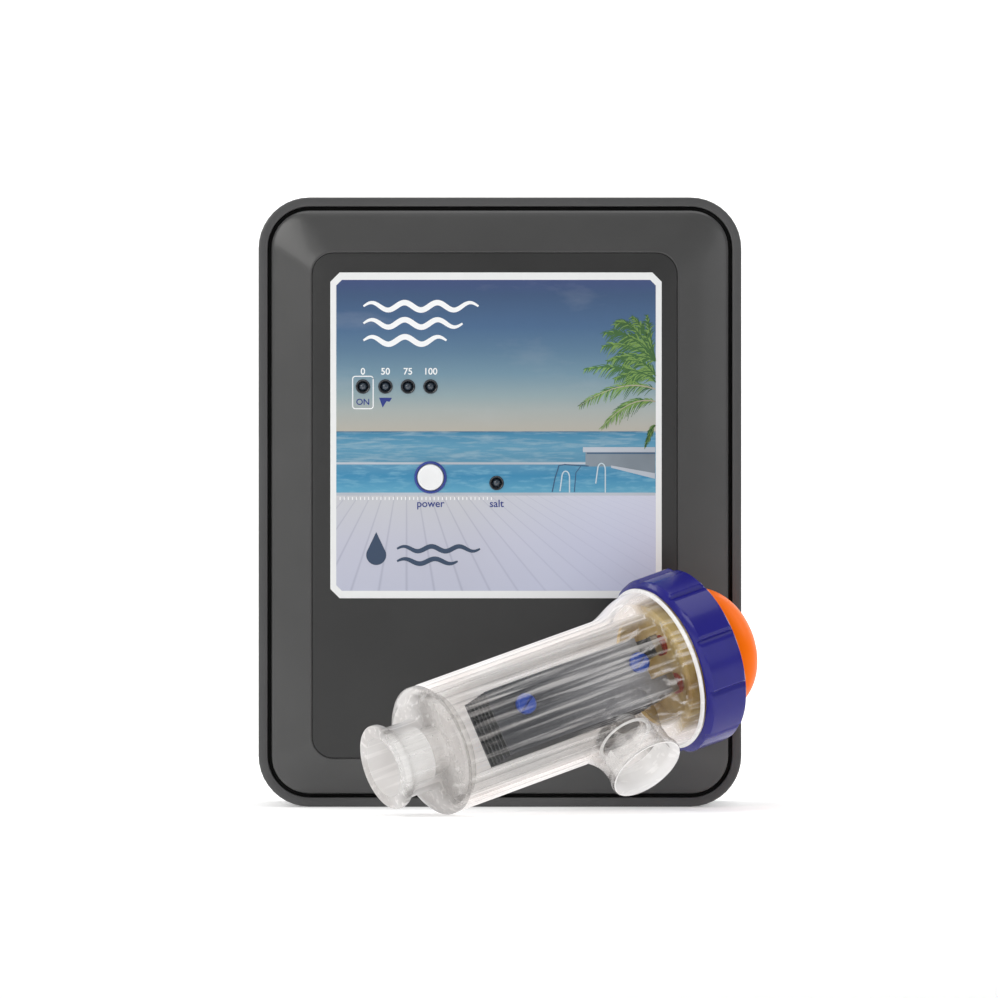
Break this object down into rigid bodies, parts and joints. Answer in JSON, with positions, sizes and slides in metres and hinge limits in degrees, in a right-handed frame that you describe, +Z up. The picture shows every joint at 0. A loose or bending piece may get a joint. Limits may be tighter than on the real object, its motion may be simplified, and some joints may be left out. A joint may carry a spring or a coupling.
{
  "type": "salt chlorine generator",
  "caption": "Pool salt chlorine generator: dark wall control unit with printed fascia, and its clear ribbed electrolysis cell with blue union nut leaning on the front.",
  "frame": {"origin": "centre of the control unit's flat base, on the surface that it stands on", "axes": "+X to the right seen from the front, +Y from the front towards the rear face, +Z up"},
  "size_m": [0.267, 0.2774, 0.328],
  "materials": {
    "casing": "fine textured dark grey ABS",
    "cover": "satin dark grey ABS",
    "fascia": "smooth darker grey ABS",
    "label": "printed polycarbonate overlay",
    "seal_black": "black EPDM",
    "seal_red": "red silicone",
    "steel": "zinc plated",
    "bezel_black": "black ABS",
    "led_lens": "dark tinted epoxy, unlit",
    "ring_blue": "blue",
    "button_white": "white",
    "circuit_board": "green solder mask",
    "ribbon_grey": "grey ribbon",
    "core_steel": "laminated silicon steel",
    "copper_enamel": "enamelled copper windings",
    "heat_sink_aluminium": "extruded",
    "terminal_green": "green polyamide",
    "fuse_base": "cream",
    "fuse_glass": "clear",
    "relay_blue": "blue",
    "capacitor_sleeve": "black sleeve",
    "gland_black": "black polyamide",
    "rocker_red": "red",
    "clear_housing": "clear moulded acrylic",
    "nut_blue": "deep blue moulded",
    "head_amber": "honey-coloured translucent moulding",
    "anode_coating": "dark mixed-oxide coated titanium",
    "titanium": "rolled titanium",
    "titanium_bar": "titanium bar",
    "spacer_white": "natural polypropylene",
    "screw_blue": "blue nylon",
    "cap_orange": "bright orange moulded"
  },
  "bodies": {
    "control_unit": {"rear_casing": "casing", "rear_panel": "casing", "panel_screws": "steel", "panel_pillars": "steel", "gland_box": "casing", "front_cover": "cover", "cover_gasket": "seal_black", "cover_screws": "steel", "fascia_panel": "fascia", "overlay_label": "label", "led_bezels": "bezel_black", "led_0": "led_lens", "led_50": "led_lens", "led_75": "led_lens", "led_100": "led_lens", "led_salt": "led_lens", "button_ring": "ring_blue", "tact_switch": "bezel_black", "display_board": "circuit_board", "display_screws": "steel", "ribbon_cable": "ribbon_grey", "main_board": "circuit_board", "board_screws": "steel", "transformer_core": "core_steel", "transformer_windings": "copper_enamel", "transformer_screws": "steel", "heat_sink": "heat_sink_aluminium", "terminal_block": "terminal_green", "fuse_holder": "fuse_base", "fuse": "fuse_glass", "relay": "relay_blue", "capacitors": "capacitor_sleeve", "mains_gland_body": "gland_black", "mains_gland_nut": "gland_black", "mains_gland_seal": "seal_black", "cell_gland_body": "gland_black", "cell_gland_nut": "gland_black", "cell_gland_seal": "seal_black", "gland_locknuts": "gland_black", "switch_frame": "bezel_black"},
    "button": {"button_cap": "button_white"},
    "rocker": {"switch_rocker": "rocker_red"},
    "cell": {"cell_housing": "clear_housing", "end_cap": "clear_housing"},
    "head": {"electrode_head": "head_amber", "head_o_ring": "seal_black", "anode_plates": "anode_coating", "cathode_plates": "titanium", "anode_terminal": "titanium_bar", "cathode_terminal": "titanium_bar", "terminal_seals": "seal_red", "terminal_nuts": "steel", "plate_spacers": "spacer_white", "plate_screws": "screw_blue", "plate_nuts": "screw_blue", "terminal_cap": "cap_orange", "cable_grommet": "seal_black"},
    "nut": {"union_nut": "nut_blue"}
  },
  "joints": [
    {"name": "button_press", "type": "slide", "parent": "control_unit", "child": "button", "axis": [0, 1, 0], "range_m": [0, 0.0008], "stiffness_N_per_m": 1500},
    {"name": "mains_switch", "type": "hinge", "parent": "control_unit", "child": "rocker", "pos_m": [0, 0.025, 0.037], "axis": [0, 1, 0], "range_deg": [0, 16]},
    {"name": "cell_forward", "type": "slide", "parent": "control_unit", "child": "cell", "axis": [0, -1, 0], "range_m": [0, 0.16]},
    {"name": "head_out", "type": "slide", "parent": "cell", "child": "head", "axis": [0.8303, 0.4755, 0.2907], "range_m": [0, 0.13]},
    {"name": "nut_turn", "type": "hinge", "parent": "head", "child": "nut", "pos_m": [0.09446, -0.1087, 0.07952], "axis": [0.8303, 0.4755, 0.2907], "continuous": true}
  ],
  "couplings": [
    {"joint": "head_out", "follows": "cell_forward", "ratio": 0.8125}
  ]
}
